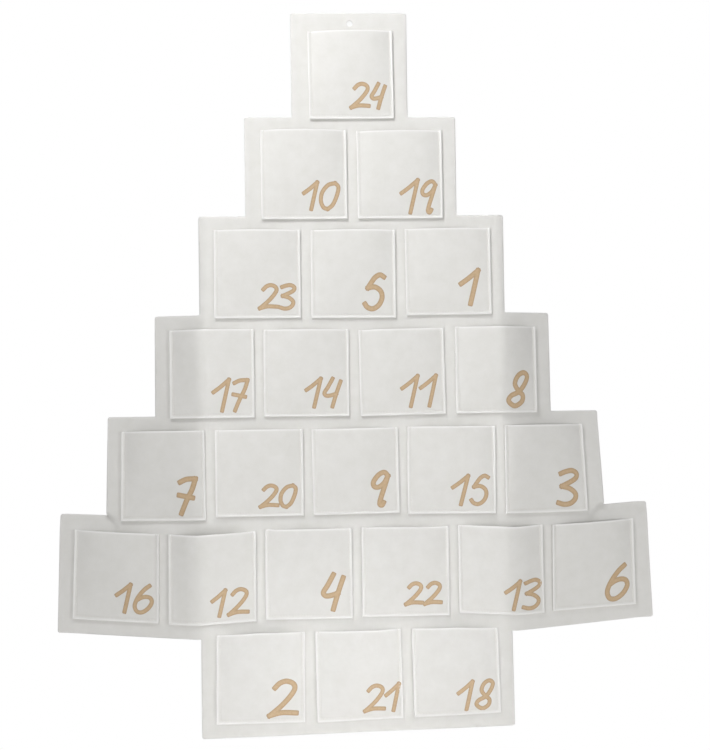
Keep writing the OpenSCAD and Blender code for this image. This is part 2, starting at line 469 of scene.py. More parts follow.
def soften(corners, radius):
    """Points along a closed line of straight edges, with its outward corners rounded."""
    line = []
    spots = [Vector(corner[:2]) for corner in corners]
    for i, spot in enumerate(spots):
        came = (spot - spots[i - 1]).normalized()
        goes = (spots[(i + 1) % len(spots)] - spot).normalized()
        if corners[i][2]:
            middle = spot + (goes - came) * radius
            for quarter in np.linspace(0, math.pi / 2, 5):
                line.append(middle + (came * math.sin(quarter) - goes * math.cos(quarter)) * radius)
        else:
            line.append(spot)
    return stepped_points(line)


def stepped_points(line):
    """The same closed line with no two points further apart than an edge step."""
    points = []
    for i, spot in enumerate(line):
        ahead = line[(i + 1) % len(line)]
        count = max(1, math.ceil((ahead - spot).length / EDGE_STEP))
        points += [spot.lerp(ahead, k / count) for k in range(count)]
    return points


cut_line = stepped_line(0)
print("cut line:", len(cut_line), "points")

# %% Fill the cut line with points and triangles
EDGE_ROWS = (0.3 * MM, 0.8 * MM, 1.6 * MM)
CLEAR = 3 * MM
INSIDE_ONLY = 1


def reach_at(z, edge):
    """How far one side of the sheet reaches at a height, nothing above or below it."""
    reach = np.zeros_like(z)
    for tier, top in enumerate(cut_top):
        reach = np.where(z < top, edge[tier], reach)
    reach = np.where(z < wing_bottom, edge[TRUNK], reach)
    return np.where(z < trunk_bottom, 0, reach)


def ring_of(radius, count=40):
    turns = np.linspace(0, 2 * math.pi, count, endpoint=False)
    return [Vector((radius * math.cos(a), radius * math.sin(a))) for a in turns]


def loop_edges(first, count):
    return [(first + i, first + (i + 1) % count) for i in range(count)]


points = list(cut_line)
edges = loop_edges(0, len(points))
hole_line = ring_of(hole_radius)
edges += loop_edges(len(points), len(hole_line))
points += hole_line
for side in (-SPLIT, SPLIT):
    count = round((tier_top[2] - trunk_bottom) / SHEET_STEP)
    first = len(points)
    points += [Vector((side, z)) for z in np.linspace(trunk_bottom, cut_top[2], count)]
    edges += [(first + i, first + i + 1) for i in range(count - 1)]
for inset in EDGE_ROWS:
    points += stepped_line(inset)
    points += ring_of(hole_radius + inset)

grid_u, grid_z = np.meshgrid(
    np.arange(-max(cut_left), max(cut_right), SHEET_STEP),
    np.arange(trunk_bottom, cut_top[0], SHEET_STEP),
)
inside = np.full(grid_u.shape, True)
for side, edge in ((-1, cut_left), (1, cut_right)):
    for height in (grid_z - CLEAR, grid_z + CLEAR):
        inside &= side * grid_u < reach_at(height, edge) - CLEAR
inside &= np.hypot(grid_u, grid_z) > hole_radius + CLEAR
inside &= np.abs(np.abs(grid_u) - SPLIT) > CLEAR / 2
points += [Vector(spot) for spot in zip(grid_u[inside], grid_z[inside])]

filled = delaunay_2d_cdt(points, edges, [], INSIDE_ONLY, 1e-6)
plan = np.array([spot[:] for spot in filled[0]])
triangles = np.array(filled[2])
middles = plan[triangles].mean(axis=1)
triangles = triangles[np.hypot(*middles.T) > hole_radius * 0.99]
middles = plan[triangles].mean(axis=1)
print("sheet:", len(plan), "points,", len(triangles), "triangles")

# %% Give the sheet its thickness, strip by strip
EDGE_R = 0.9 * MM
BACK_ROUNDING = 0.7
EDGE_GLOW = 1.2 * MM
UNEVEN, UNEVEN_SPOT = 0.12 * MM, 9 * MM


def line_distance(spots, line):
    """Distance of each spot from a line of points."""
    nearest = np.full(len(spots), np.inf)
    for a, d in zip(line, line[1:] - line[:-1]):
        part = np.clip(((spots - a) @ d) / (d @ d), 0, 1)
        nearest = np.minimum(nearest, np.hypot(*(spots - a - part[:, None] * d).T))
    return nearest


def rounded_off(distance):
    """How much lower a rounded edge is, by the distance from the cut."""
    short = np.clip(EDGE_R - distance, 0, EDGE_R)
    return EDGE_R - np.sqrt(EDGE_R**2 - short**2)


def closed_mesh(name, faces, front, back):
    """A closed mesh from two layers of points that share their faces, with walls round the rim."""
    count = len(front)
    sides = np.concatenate([faces[:, [0, 1]], faces[:, [1, 2]], faces[:, [2, 0]]]).tolist()
    both = set(map(tuple, sides))
    walls = [(b, a, a + count, b + count) for a, b in sides if (b, a) not in both]
    layers = faces.tolist() + (faces[:, ::-1] + count).tolist()
    mesh = bpy.data.meshes.new(name)
    mesh.from_pydata(np.concatenate([front, back]).tolist(), [], layers + walls)
    return mesh


def mark_points(mesh, name, values):
    mesh.attributes.new(name, "FLOAT", "POINT").data.foreach_set("value", values.astype(np.float32))


closed_cut = np.array([spot[:] for spot in cut_line + cut_line[:1]])
from_edge = np.minimum(line_distance(plan, closed_cut), np.abs(np.hypot(*plan.T) - hole_radius))
uneven = np.array([noise.noise((u / UNEVEN_SPOT, 0, z / UNEVEN_SPOT)) for u, z in plan]) * UNEVEN
strips = {
    "backing_left_felt": (middles[:, 0] < -SPLIT, ["backing_left_wing", "backing_centre"]),
    "backing_centre_felt": (np.abs(middles[:, 0]) < SPLIT, ["backing_centre"]),
    "backing_right_felt": (middles[:, 0] > SPLIT, ["backing_right_wing", "backing_centre"]),
}
backing_pieces = {}
for name, (chosen, nodes) in strips.items():
    used, faces = np.unique(triangles[chosen], return_inverse=True)
    faces = faces.reshape(-1, 3)
    spots = plan[used]
    u, z = spots.T
    drop = rounded_off(from_edge[used])
    front = hang(u, felt_t - drop + uneven[used], z)
    mesh = closed_mesh(name, faces, front, hang(u, BACK_ROUNDING * drop, z))
    mesh.shade_smooth()
    # Painted highlight: the felt is drawn whiter within about a millimetre of its cut edge
    mark_points(mesh, "painted_edge_highlight", np.tile(np.exp(-((from_edge[used] / EDGE_GLOW) ** 2)), 2))
    on_split = np.tile(np.abs(np.abs(u) - SPLIT) < 1e-6, 2)
    for edge in mesh.edges:
        edge.use_edge_sharp = bool(on_split[edge.vertices[0]] and on_split[edge.vertices[1]])
    mesh.materials.append(backing_felt)
    backing_pieces[name] = add_object(name, mesh)
    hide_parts(*nodes)

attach(backing_pieces["backing_centre_felt"], "centre")
for joint in frame["joints"]:
    side = joint["child"].removesuffix("_wing")
    bend_across(backing_pieces[f"backing_{side}_felt"])

# %% [markdown]
# ## The pocket
# A pocket is a square of the same felt. Three edges are sewn flat, and the top edge bows out, so the
# panel is flat along its seam and fullest in the middle of its mouth. The stitch line is pulled down
# into a groove, and the strip outside it curls up as a narrow rim.
# This is a shape that follows a rule and repeats 24 times, so Geometry Nodes make it: a box with a
# fine grid is stretched to size, with its columns drawn close together at the edges by a sine, and
# each point is then moved by the rule. The rule is a list of small sums, and each becomes one Math node.

# %% Write the rule of the pocket
def bell(name, distance, width):
    """Sums for a bell curve, which is one at no distance and fades over a width."""
    return [
        (f"{name}_part", "DIVIDE", distance, width),
        (f"{name}_square", "MULTIPLY", f"{name}_part", f"{name}_part"),
        (f"{name}_fade", "MULTIPLY", f"{name}_square", -1),
        (f"{name}_bell", "EXPONENT", f"{name}_fade"),
    ]


POCKET_RULE = [
    ("half_w", "MULTIPLY", "Width", 0.5),
    ("half_h", "MULTIPLY", "Height", 0.5),
    ("turn_x", "MULTIPLY", "grid_x", math.pi / 2),
    ("turn_z", "MULTIPLY", "grid_z", math.pi / 2),
    ("sine_x", "SINE", "turn_x"),
    ("sine_z", "SINE", "turn_z"),
    ("across", "MULTIPLY", "sine_x", "half_w"),
    ("up", "MULTIPLY_ADD", "sine_z", "half_h", "half_h"),
    ("aside", "ABSOLUTE", "across"),
    ("to_side", "SUBTRACT", "half_w", "aside"),
    ("to_sewn", "MINIMUM", "to_side", "up"),
    ("to_mouth", "SUBTRACT", "Height", "up"),
    ("to_edge", "MINIMUM", "to_sewn", "to_mouth"),
    # The groove: a bell curve across the stitch line
    ("off_seam", "SUBTRACT", "to_sewn", "Seam inset"),
    *bell("seam", "off_seam", "Groove width"),
    ("groove", "MULTIPLY", "seam_bell", "Groove depth"),
    # The rim: a second bell curve, nearer the edge
    ("off_rim", "SUBTRACT", "to_sewn", "Rim place"),
    *bell("rim", "off_rim", "Rim width"),
    ("rim", "MULTIPLY", "rim_bell", "Rim height"),
    # The rounded cut edge: a quarter circle
    ("short_of", "SUBTRACT", "Edge radius", "to_edge"),
    ("short", "MAXIMUM", "short_of", 0),
    ("short_square", "MULTIPLY", "short", "short"),
    ("radius_square", "MULTIPLY", "Edge radius", "Edge radius"),
    ("rest_square", "SUBTRACT", "radius_square", "short_square"),
    ("arc", "SQRT", "rest_square"),
    ("edge_drop", "SUBTRACT", "Edge radius", "arc"),
    # The bow: nothing on the sewn strips, fullest in the middle of the mouth
    ("inner_half", "SUBTRACT", "half_w", "Seam strip"),
    ("share", "DIVIDE", "aside", "inner_half"),
    ("share_held", "MINIMUM", "share", 1),
    ("share_power", "POWER", "share_held", "Across power"),
    ("fullness", "SUBTRACT", 1, "share_power"),
    ("rise_length", "SUBTRACT", "Height", "Seam strip"),
    ("still_up", "DIVIDE", "to_mouth", "rise_length"),
    ("still_held", "MINIMUM", "still_up", 1),
    ("still_power", "POWER", "still_held", "Rise power"),
    ("rise", "SUBTRACT", 1, "still_power"),
    ("bow_share", "MULTIPLY", "fullness", "rise"),
    ("bow_even", "MULTIPLY", "bow_share", "Gape"),
    ("lip_middle", "SUBTRACT", "lip_noise", 0.5),
    ("lip_scale", "MULTIPLY_ADD", "lip_middle", "Lip wave", 1),
    ("bow", "MULTIPLY", "bow_even", "lip_scale"),
    # The front face: thickness, rim, groove and rounded edge, and a little unevenness
    ("felt_middle", "SUBTRACT", "felt_noise", 0.5),
    ("with_rim", "ADD", "Thickness", "rim"),
    ("less_groove", "SUBTRACT", "with_rim", "groove"),
    ("less_edge", "SUBTRACT", "less_groove", "edge_drop"),
    ("front_height", "MULTIPLY_ADD", "felt_middle", "Unevenness", "less_edge"),
    ("is_front", "LESS_THAN", "grid_y", 0),
    ("is_back", "SUBTRACT", 1, "is_front"),
    ("stand", "MULTIPLY_ADD", "front_height", "is_front", "bow"),
    ("y", "MULTIPLY", "stand", -1),
    # The undercut: the back face is a little smaller, so that a thin shadow lies along the edge
    ("drawn_in", "MULTIPLY", "is_back", "Undercut"),
    ("cut_half_w", "SUBTRACT", "half_w", "drawn_in"),
    ("cut_half_h", "SUBTRACT", "half_h", "drawn_in"),
    ("x", "MULTIPLY", "sine_x", "cut_half_w"),
    ("z", "MULTIPLY_ADD", "sine_z", "cut_half_h", "half_h"),
    # How near the cut edge a point is, for the painted highlight there
    *bell("edge", "to_edge", "Edge glow"),
]
pocket_sizes = {
    "Width": pocket_w,
    "Height": pocket_h,
    "Thickness": felt_t,
    "Gape": pocket_gape,
    "Seam strip": 4.9 * MM,
    "Seam inset": 3.5 * MM,
    "Groove depth": 0.5 * MM,
    "Groove width": 0.6 * MM,
    "Rim place": 0.8 * MM,
    "Rim height": 0.55 * MM,
    "Rim width": 0.8 * MM,
    "Edge radius": 0.5 * MM,
    "Edge glow": 1.6 * MM,
    "Undercut": 1.1 * MM,
    "Across power": 2.6,
    "Rise power": 1.8,
    "Lip wave": 0.2,
    "Unevenness": 0.25 * MM,
    "Seed": 0.0,
}
print("pocket rule:", len(POCKET_RULE), "sums of", len(pocket_sizes), "sizes")

# %% Build the pocket tree
POCKET_GRID = 64


def new_geometry_tree(name, sockets):
    tree = bpy.data.node_groups.new(name, "GeometryNodeTree")
    tree.interface.new_socket("Geometry", in_out="INPUT", socket_type="NodeSocketGeometry")
    for socket, kind in sockets.items():
        tree.interface.new_socket(socket, in_out="INPUT", socket_type="NodeSocket" + kind)
    tree.interface.new_socket("Geometry", in_out="OUTPUT", socket_type="NodeSocketGeometry")
    return tree, add_node(tree, "NodeGroupInput").outputs


def end_geometry_tree(tree, geometry, material):
    for kind in ("GeometryNodeSetShadeSmooth", "GeometryNodeRealizeInstances"):
        geometry = add_node(tree, kind, {0: geometry}).outputs[0]
    painted = {"Geometry": geometry, "Material": material}
    geometry = add_node(tree, "GeometryNodeSetMaterial", painted).outputs[0]
    add_node(tree, "NodeGroupOutput", {0: geometry})
    print(tree.name, "tree:", len(tree.nodes), "nodes")


sockets = dict.fromkeys(pocket_sizes, "Float") | {"Felt": "Material"}
pocket_tree, given = new_geometry_tree("Sewn pocket", sockets)
known = {name: given[name] for name in pocket_sizes}
box_size = {"Size": (2, 2, 2), "Vertices X": POCKET_GRID, "Vertices Y": 2, "Vertices Z": POCKET_GRID}
felt_box = add_node(pocket_tree, "GeometryNodeMeshCube", box_size)
grid_place = add_node(pocket_tree, "GeometryNodeInputPosition").outputs[0]
axes = add_node(pocket_tree, "ShaderNodeSeparateXYZ", {0: grid_place}).outputs
known |= {"grid_x": axes[0], "grid_y": axes[1], "grid_z": axes[2]}
felt_grain = {"Vector": grid_place, "W": given["Seed"], "Scale": 5, "Detail": 3}
felt_noise = add_node(pocket_tree, "ShaderNodeTexNoise", felt_grain, noise_dimensions="4D")
along_lip = add_node(pocket_tree, "ShaderNodeCombineXYZ", {0: axes[0], 1: given["Seed"]}).outputs[0]
lip_grain = {"Vector": along_lip, "Scale": 1.3, "Detail": 1}
lip_noise = add_node(pocket_tree, "ShaderNodeTexNoise", lip_grain, noise_dimensions="2D")
known |= {"felt_noise": felt_noise.outputs[0], "lip_noise": lip_noise.outputs[0]}
for name, operation, *parts in POCKET_RULE:
    inputs = {i: known.get(part, part) for i, part in enumerate(parts)}
    known[name] = add_node(pocket_tree, "ShaderNodeMath", inputs, operation=operation).outputs[0]
spot = {0: known["x"], 1: known["y"], 2: known["z"]}
place = add_node(pocket_tree, "ShaderNodeCombineXYZ", spot).outputs[0]
# Painted highlight: the pocket felt is drawn whiter close to its cut edge
edged = {"Geometry": felt_box.outputs[0], "Name": "painted_edge_highlight", "Value": known["edge_bell"]}
geometry = add_node(pocket_tree, "GeometryNodeStoreNamedAttribute", edged).outputs[0]
moved = {"Geometry": geometry, "Position": place}
geometry = add_node(pocket_tree, "GeometryNodeSetPosition", moved).outputs[0]
end_geometry_tree(pocket_tree, geometry, given["Felt"])

# %% [markdown]
# ### Sewing on the pockets
# No two hand-sewn pockets sit quite true, so each has its own small shift and turn on the sheet.
# The tree is run for each pocket with its own seed and gape, and the result becomes a plain mesh,
# which is then hung with the sheet.

# %% Make the 24 pockets
# By day: shift across and up in mm, turn in degrees, and how much wider and taller it was cut in mm
SEWN = {
    24: (0.6, 0.9, 0.5, -1.1, 0.8),
    10: (0.1, -0.1, 0, -0.3, 1.8),
    19: (0.4, -0.6, 0.1, -0.6, 0.6),
    23: (0.3, -0.2, -0.2, -0.3, 0.2),
    5: (0.1, -0.8, -0.2, -1.6, 0.4),
    1: (-0.3, 0.8, 0.3, 0, -1.1),
    17: (1.9, 0.4, 0, -2.4, 0.2),
    14: (-0.1, 0.1, -0.3, -1.5, -1.2),
    11: (-0.4, -0.2, 0.8, -0.9, -1.7),
    8: (-0.6, 1.1, 0, -2.5, -0.8),
    7: (0.3, -0.7, 0.2, -0.8, 1),
    20: (-0.1, 0.8, 0, 0.8, -1.9),
    9: (-0.4, 1, 0.5, -0.2, -2.5),
    15: (-0.2, 0.6, -0.5, 2.2, -0.5),
    3: (0.3, 0.4, 0.1, 0.1, 0.7),
    16: (0.6, -0.1, -0.6, -0.1, -0.5),
    12: (0.5, -1.3, -0.3, -0.6, 0.6),
    4: (-0.5, -0.5, -0.2, -0.3, 1.1),
    22: (-0.2, 0, -0.4, 0.8, 0.6),
    13: (-0.2, 1.5, -0.1, -1.2, -0.3),
    6: (0, 0.3, -1.1, 1.3, -2),
    2: (-1.4, -0.7, -0.6, 0.4, -1),
    21: (-0.3, -1.3, 0.5, -1.4, 0.1),
    18: (0.2, -0.4, 0.7, -0.1, -0.4),
}


def grow(tree, base, inputs):
    """Runs a geometry tree on a mesh and returns the result as a plain mesh."""
    holder = add_object("holder", base)
    modifier = holder.modifiers.new("grow", "NODES")
    modifier.node_group = tree
    for item in tree.interface.items_tree:
        if item.in_out == "INPUT" and item.name in inputs:
            modifier[item.identifier] = inputs[item.name]
    graph = bpy.context.evaluated_depsgraph_get()
    mesh = bpy.data.meshes.new_from_object(holder.evaluated_get(graph))
    bpy.data.objects.remove(holder)
    return mesh


def sew_on(points, day):
    """Takes points of a pocket's own square to their place on the hung sheet."""
    middle, bottom = pocket_places[day]
    shift, lift, degrees, wider, taller = SEWN[day]
    turn = math.radians(degrees)
    across = points[:, 0] * (1 + wider * MM / pocket_w)
    up = (points[:, 2] - pocket_h / 2) * (1 + taller * MM / pocket_h)
    u = middle + shift * MM + across * math.cos(turn) - up * math.sin(turn)
    z = bottom + pocket_h / 2 + lift * MM + across * math.sin(turn) + up * math.cos(turn)
    return hang(u, pocket_seat - points[:, 1], z)


start = bpy.data.meshes.new("start")
gape_draw = np.random.default_rng(24)
pocket_surfaces = {}
for day in sorted(pocket_places):
    sizes = dict(pocket_sizes, Felt=pocket_felt, Seed=float(day))
    sizes["Gape"] = pocket_gape * gape_draw.uniform(0.97, 1.12)
    mesh = grow(pocket_tree, start, sizes)
    mesh.name = f"pocket_felt_{day:02d}"
    flat = np.array([point.co[:] for point in mesh.vertices])
    pocket_surfaces[day] = BVHTree.FromPolygons(flat.tolist(), [list(p.vertices) for p in mesh.polygons])
    mesh.vertices.foreach_set("co", sew_on(flat, day).astype(np.float32).ravel())
    mesh.update()
    piece = add_object(mesh.name, mesh)
    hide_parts(f"pocket_{day:02d}")
    carry(piece, f"pocket_{day:02d}")

# %% [markdown]
# ## The stitches
# Each pocket has one row of lockstitch: down the left, along the bottom and up the right. The top
# thread shows on the pocket and the bobbin thread on the back of the sheet. A stitch is a short
# length of thread that dives into the felt at both ends, so a slim, flattened spindle stands for it.
# The path is dropped on the pocket's own surface by a ray, and Geometry Nodes set a stitch every
# 3 mm along it, turned to follow the path.

# %% Build the stitch tree
stitch_sockets = {"Stitch length": "Float", "Stitch size": "Vector", "Thread": "Material"}
stitch_tree, given = new_geometry_tree("Stitch rows", stitch_sockets)
curve = add_node(stitch_tree, "GeometryNodeMeshToCurve", {0: given["Geometry"]}).outputs[0]
spaced = {"Curve": curve, "Length": given["Stitch length"]}
curve = add_node(stitch_tree, "GeometryNodeResampleCurve", spaced, mode="LENGTH").outputs[0]
along = add_node(stitch_tree, "GeometryNodeInputTangent").outputs[0]
aligned = add_node(stitch_tree, "FunctionNodeAlignRotationToVector", {"Vector": along}, axis="X")
turned = aligned.outputs[0]
spindle = {"Segments": 8, "Rings": 5, "Radius": 0.5}
stitch = add_node(stitch_tree, "GeometryNodeMeshUVSphere", spindle).outputs[0]
row = {"Points": curve, "Instance": stitch, "Rotation": turned, "Scale": given["Stitch size"]}
stitches = add_node(stitch_tree, "GeometryNodeInstanceOnPoints", row).outputs[0]
end_geometry_tree(stitch_tree, stitches, given["Thread"])

# %% Sew the 24 seams
STITCH = 3 * MM
STITCH_SIZE = (2.7 * MM, 0.75 * MM, 0.7 * MM)
THREAD_STAND = 0.15 * MM
SEAM_CORNER = 2 * MM
SEAM_POINTS = 80
seam_x = pocket_w / 2 - pocket_sizes["Seam inset"]
seam_low = pocket_sizes["Seam inset"]


def seam_path():
    """Points along the U of a seam on a pocket's own square, about a millimetre apart."""
    high = pocket_h - STITCH / 2
    leg = np.linspace(high, seam_low + SEAM_CORNER, SEAM_POINTS)
    arc = np.linspace(math.pi, 1.5 * math.pi, 5)[1:-1]
    bend_x = -seam_x + SEAM_CORNER + SEAM_CORNER * np.cos(arc)
    bend_z = seam_low + SEAM_CORNER + SEAM_CORNER * np.sin(arc)
    base = np.linspace(-seam_x + SEAM_CORNER, seam_x - SEAM_CORNER, SEAM_POINTS)
    still = np.ones(SEAM_POINTS)
    x = np.concatenate([-seam_x * still, bend_x, base, -bend_x[::-1], seam_x * still])
    z = np.concatenate([leg, bend_z, seam_low * still, bend_z[::-1], leg[::-1]])
    return x, z


def drop_on(day, x, z):
    """Heights of a pocket's front face under points of its square, by rays from in front."""
    heights = []
    for across, up in zip(x, z):
        hit = pocket_surfaces[day].ray_cast(Vector((across, -1, up)), Vector((0, 1, 0)))
        heights.append(hit[0].y)
    return np.array(heights)


path_x, path_z = seam_path()
for day in sorted(pocket_places):
    top_thread = np.column_stack([path_x, drop_on(day, path_x, path_z) - THREAD_STAND, path_z])
    bobbin = top_thread.copy()
    bobbin[:, 1] = pocket_seat + THREAD_STAND / 2
    count = len(path_x)
    rows = bpy.data.meshes.new("rows")
    links = [(i, i + 1) for i in range(2 * count - 1) if i != count - 1]
    rows.from_pydata(np.concatenate([sew_on(top_thread, day), sew_on(bobbin, day)]).tolist(), links, [])
    sizes = {"Stitch length": STITCH, "Stitch size": STITCH_SIZE, "Thread": thread}
    mesh = grow(stitch_tree, rows, sizes)
    mesh.name = f"stitches_{day:02d}"
    piece = add_object(mesh.name, mesh)
    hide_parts(f"seam_{day:02d}")
    carry(piece, f"seam_{day:02d}")

# %% [markdown]
# ## The numbers
# The numbers look drawn with a blunt marker and slant to the right. Each digit is a few strokes,
# written as points on a line one unit high. A smooth curve runs through the points, and a pen of
# even width follows it. A number is scaled to fill a 40 mm square, so a single digit is larger
# than a pair and has a broader pen. It stands near the lower right corner of its pocket.

# %% Write the digits
DIGITS = {
    "0": [
        [(0.6, 0.98), (0.32, 0.9), (0.09, 0.62), (0.04, 0.3), (0.14, 0.06), (0.3, 0)],
        [(0.3, 0), (0.5, 0.16), (0.67, 0.52), (0.73, 0.84), (0.6, 0.98)],
    ],
    "1": [[(0, 0.6), (0.24, 0.77), (0.52, 1)], [(0.52, 1), (0.4, 0.5), (0.28, 0)]],
    "2": [
        [(0.2, 0.82), (0.34, 0.95), (0.53, 1), (0.72, 0.92), (0.76, 0.77), (0.62, 0.55)]
        + [(0.36, 0.28), (0.04, 0.02)],
        [(0.04, 0.02), (0.38, 0.1), (0.8, 0.08)],
    ],
    "3": [
        [(0.1, 0.92), (0.28, 0.98), (0.48, 1), (0.63, 0.9), (0.55, 0.74), (0.13, 0.54)],
        [(0.13, 0.54), (0.38, 0.47), (0.56, 0.32), (0.55, 0.16), (0.4, 0.03), (0.2, 0)]
        + [(0.02, 0.05)],
    ],
    "4": [
        [(0.33, 1), (0.16, 0.7), (0.03, 0.49), (0.1, 0.39), (0.27, 0.4), (0.46, 0.46)],
        [(0.62, 0.9), (0.46, 0.46), (0.32, 0)],
    ],
    "5": [
        [(0.6, 0.94), (0.48, 1), (0.33, 0.92), (0.2, 0.75), (0.11, 0.61)],
        [(0.11, 0.61), (0.32, 0.64), (0.5, 0.52), (0.54, 0.32), (0.44, 0.11), (0.26, 0)]
        + [(0.1, 0.04), (0.02, 0.14)],
    ],
    "6": [
        [(0.58, 0.98), (0.38, 0.82), (0.16, 0.54), (0.04, 0.25), (0.11, 0.04), (0.3, 0.01)]
        + [(0.52, 0.15), (0.66, 0.37), (0.62, 0.53), (0.47, 0.58), (0.28, 0.54), (0.13, 0.45)],
    ],
    "7": [
        [(0.08, 0.89), (0.27, 0.97), (0.52, 0.98)],
        [(0.52, 0.98), (0.42, 0.68), (0.25, 0.36), (0.09, 0)],
        [(0.04, 0.52), (0.43, 0.44)],
    ],
    "8": [
        [(0.37, 0.44), (0.23, 0.66), (0.33, 0.9), (0.53, 1), (0.66, 0.89), (0.58, 0.67)]
        + [(0.38, 0.43), (0.12, 0.31), (0.03, 0.15), (0.24, 0), (0.47, 0.12), (0.51, 0.31)]
        + [(0.37, 0.44)],
    ],
    "9": [
        [(0.47, 0.86), (0.37, 0.97), (0.2, 0.9), (0.05, 0.7), (0.07, 0.56), (0.2, 0.54)]
        + [(0.36, 0.66), (0.47, 0.86)],
        [(0.47, 0.86), (0.35, 0.5), (0.25, 0.2), (0.22, 0.04), (0.28, 0), (0.33, 0.08)],
    ],
}
DIGIT_SPACE = 0.10


def smooth_stroke(stroke, steps=6):
    """Points of a Catmull-Rom curve through the points of a stroke."""
    p = np.array([stroke[0], *stroke, stroke[-1]])
    t = np.linspace(0, 1, steps, endpoint=False)[:, None]
    pieces = []
    for a, b, c, d in zip(p, p[1:], p[2:], p[3:]):
        bend = (2 * a - 5 * b + 4 * c - d) * t**2 + (3 * b - a - 3 * c + d) * t**3
        pieces.append(0.5 * (2 * b + (c - a) * t + bend))
    return np.concatenate([*pieces, p[-1:]])


def write_number(text):
    """Strokes of a number, its digits side by side, one unit high."""
    strokes = []
    across = 0.0
    for digit in text:
        lines = [smooth_stroke(stroke) for stroke in DIGITS[digit]]
        strokes += [line + (across, 0) for line in lines]
        across += max(line[:, 0].max() for line in lines) + DIGIT_SPACE
    return strokes


print("24 is written in", len(write_number("24")), "strokes")

# %% [markdown]
# A stroke is a chain of short capsules, one for each step of the pen. They overlap, and a constrained
# triangulation cuts them all against each other, so the triangles that lie in any capsule are the
# printed shape, without doubles. The first and last step of a stroke have blunt ends. The shape is
# laid on the pocket by rays and made a thin closed layer.
# No two numbers were printed in quite the same place, so each has its own small shift.

# %% Print the 24 numbers
NUMBER_BOX = 40.5 * MM
NUMBER_RIGHT = 6.5 * MM
NUMBER_LOW = 5.5 * MM
PEN_OF_PAIR, PEN_OF_SINGLE = 2.15 * MM, 2.7 * MM
# By day: shift to the right and up in mm
PRINTED = {
    24: (-0.5, 3.6), 10: (-0.5, 2.6), 19: (1, -1.6), 23: (2.1, 2.1), 5: (-3.6, 1), 1: (-4.7, 3.1),
    17: (1.6, 0), 14: (-0.5, 2.6), 11: (-1, 1.6), 8: (-3.1, -1), 7: (-1, -1), 20: (0.5, 2.1),
    9: (-2.6, 0.5), 15: (0.5, 2.1), 3: (-1.6, -0.5), 16: (1.6, 2.6), 12: (-0.5, 1), 4: (-0.5, 1.6),
    22: (-0.5, 4.7), 13: (4.1, -1.6), 6: (0, -1), 2: (0, -0.5), 21: (4.7, 1), 18: (1, -2.1),
}
BLUNT = 0.45
INK_STAND = 0.16 * MM
INK_DEPTH = 0.5 * MM
HULL = 0
NEAR = 0.02 * MM


def capsule(a, b, radius, roundness=1):
    """Outline of one step of the pen. Its ends are half circles, or blunter with less roundness."""
    along = (b - a) / np.hypot(*(b - a))
    aside = np.array([-along[1], along[0]])
    turns = np.linspace(0, math.pi, 8)
    out = np.sin(turns) ** roundness
    over = np.sign(np.cos(turns)) * np.abs(np.cos(turns)) ** roundness
    cap = radius * (np.outer(over, aside) - np.outer(out, along))
    return np.concatenate([a + cap, b - cap])


def number_shape(day):
    """Flat triangles of a printed number, and how near the edge of a stroke each point is."""
    strokes = write_number(str(day))
    written = np.concatenate(strokes)
    low, extent = written.min(axis=0), np.ptp(written, axis=0)
    pen = PEN_OF_PAIR if day > 9 else PEN_OF_SINGLE
    scale = (NUMBER_BOX - 2 * pen) / extent.max()
    right, up = PRINTED[day]
    left = pocket_w / 2 - NUMBER_RIGHT + right * MM - extent[0] * scale - pen
    corner = (left, NUMBER_LOW + up * MM + pen)
    lines = [corner + (line - low) * scale for line in strokes]
    capsules = []
    for line in lines:
        roundness = [BLUNT, *[1] * (len(line) - 3), BLUNT]
        capsules += [capsule(a, b, pen, r) for a, b, r in zip(line, line[1:], roundness)]
    size = len(capsules[0])
    shapes = [list(range(i * size, (i + 1) * size)) for i in range(len(capsules))]
    spots = [Vector(spot) for spot in np.concatenate(capsules + lines)]
    cut = delaunay_2d_cdt(spots, [], shapes, HULL, NEAR)
    kept = np.array([face for face, sources in zip(cut[2], cut[5]) if sources])
    # Points that fall together within a micrometre become one, and the faces that this closes up go
    welded = np.array([spot[:] for spot in cut[0]]).round(6)
    spots, same = np.unique(welded, axis=0, return_inverse=True)
    faces = same.reshape(-1)[kept]
    faces = faces[(faces != np.roll(faces, 1, axis=1)).all(axis=1)]
    used, faces = np.unique(faces, return_inverse=True)
    spots = spots[used]
    from_core = np.min([line_distance(spots, line) for line in lines], axis=0)
    return spots, faces.reshape(-1, 3), np.clip(from_core / pen, 0, 1) ** 2


def print_layer(name, day, spots, faces, near_edge):
    x, z = spots.T
    top = np.column_stack([x, drop_on(day, x, z) - INK_STAND, z])
    under = top + (0, INK_DEPTH, 0)
    mesh = closed_mesh(name, faces, sew_on(top, day), sew_on(under, day))
    mark_points(mesh, "stroke_edge", np.tile(near_edge, 2))
    mesh.materials.append(ink)
    return mesh


for day in sorted(pocket_places):
    name = f"number_{day:02d}"
    piece = add_object(name, print_layer(name, day, *number_shape(day)))
    carry(piece, f"pocket_{day:02d}")
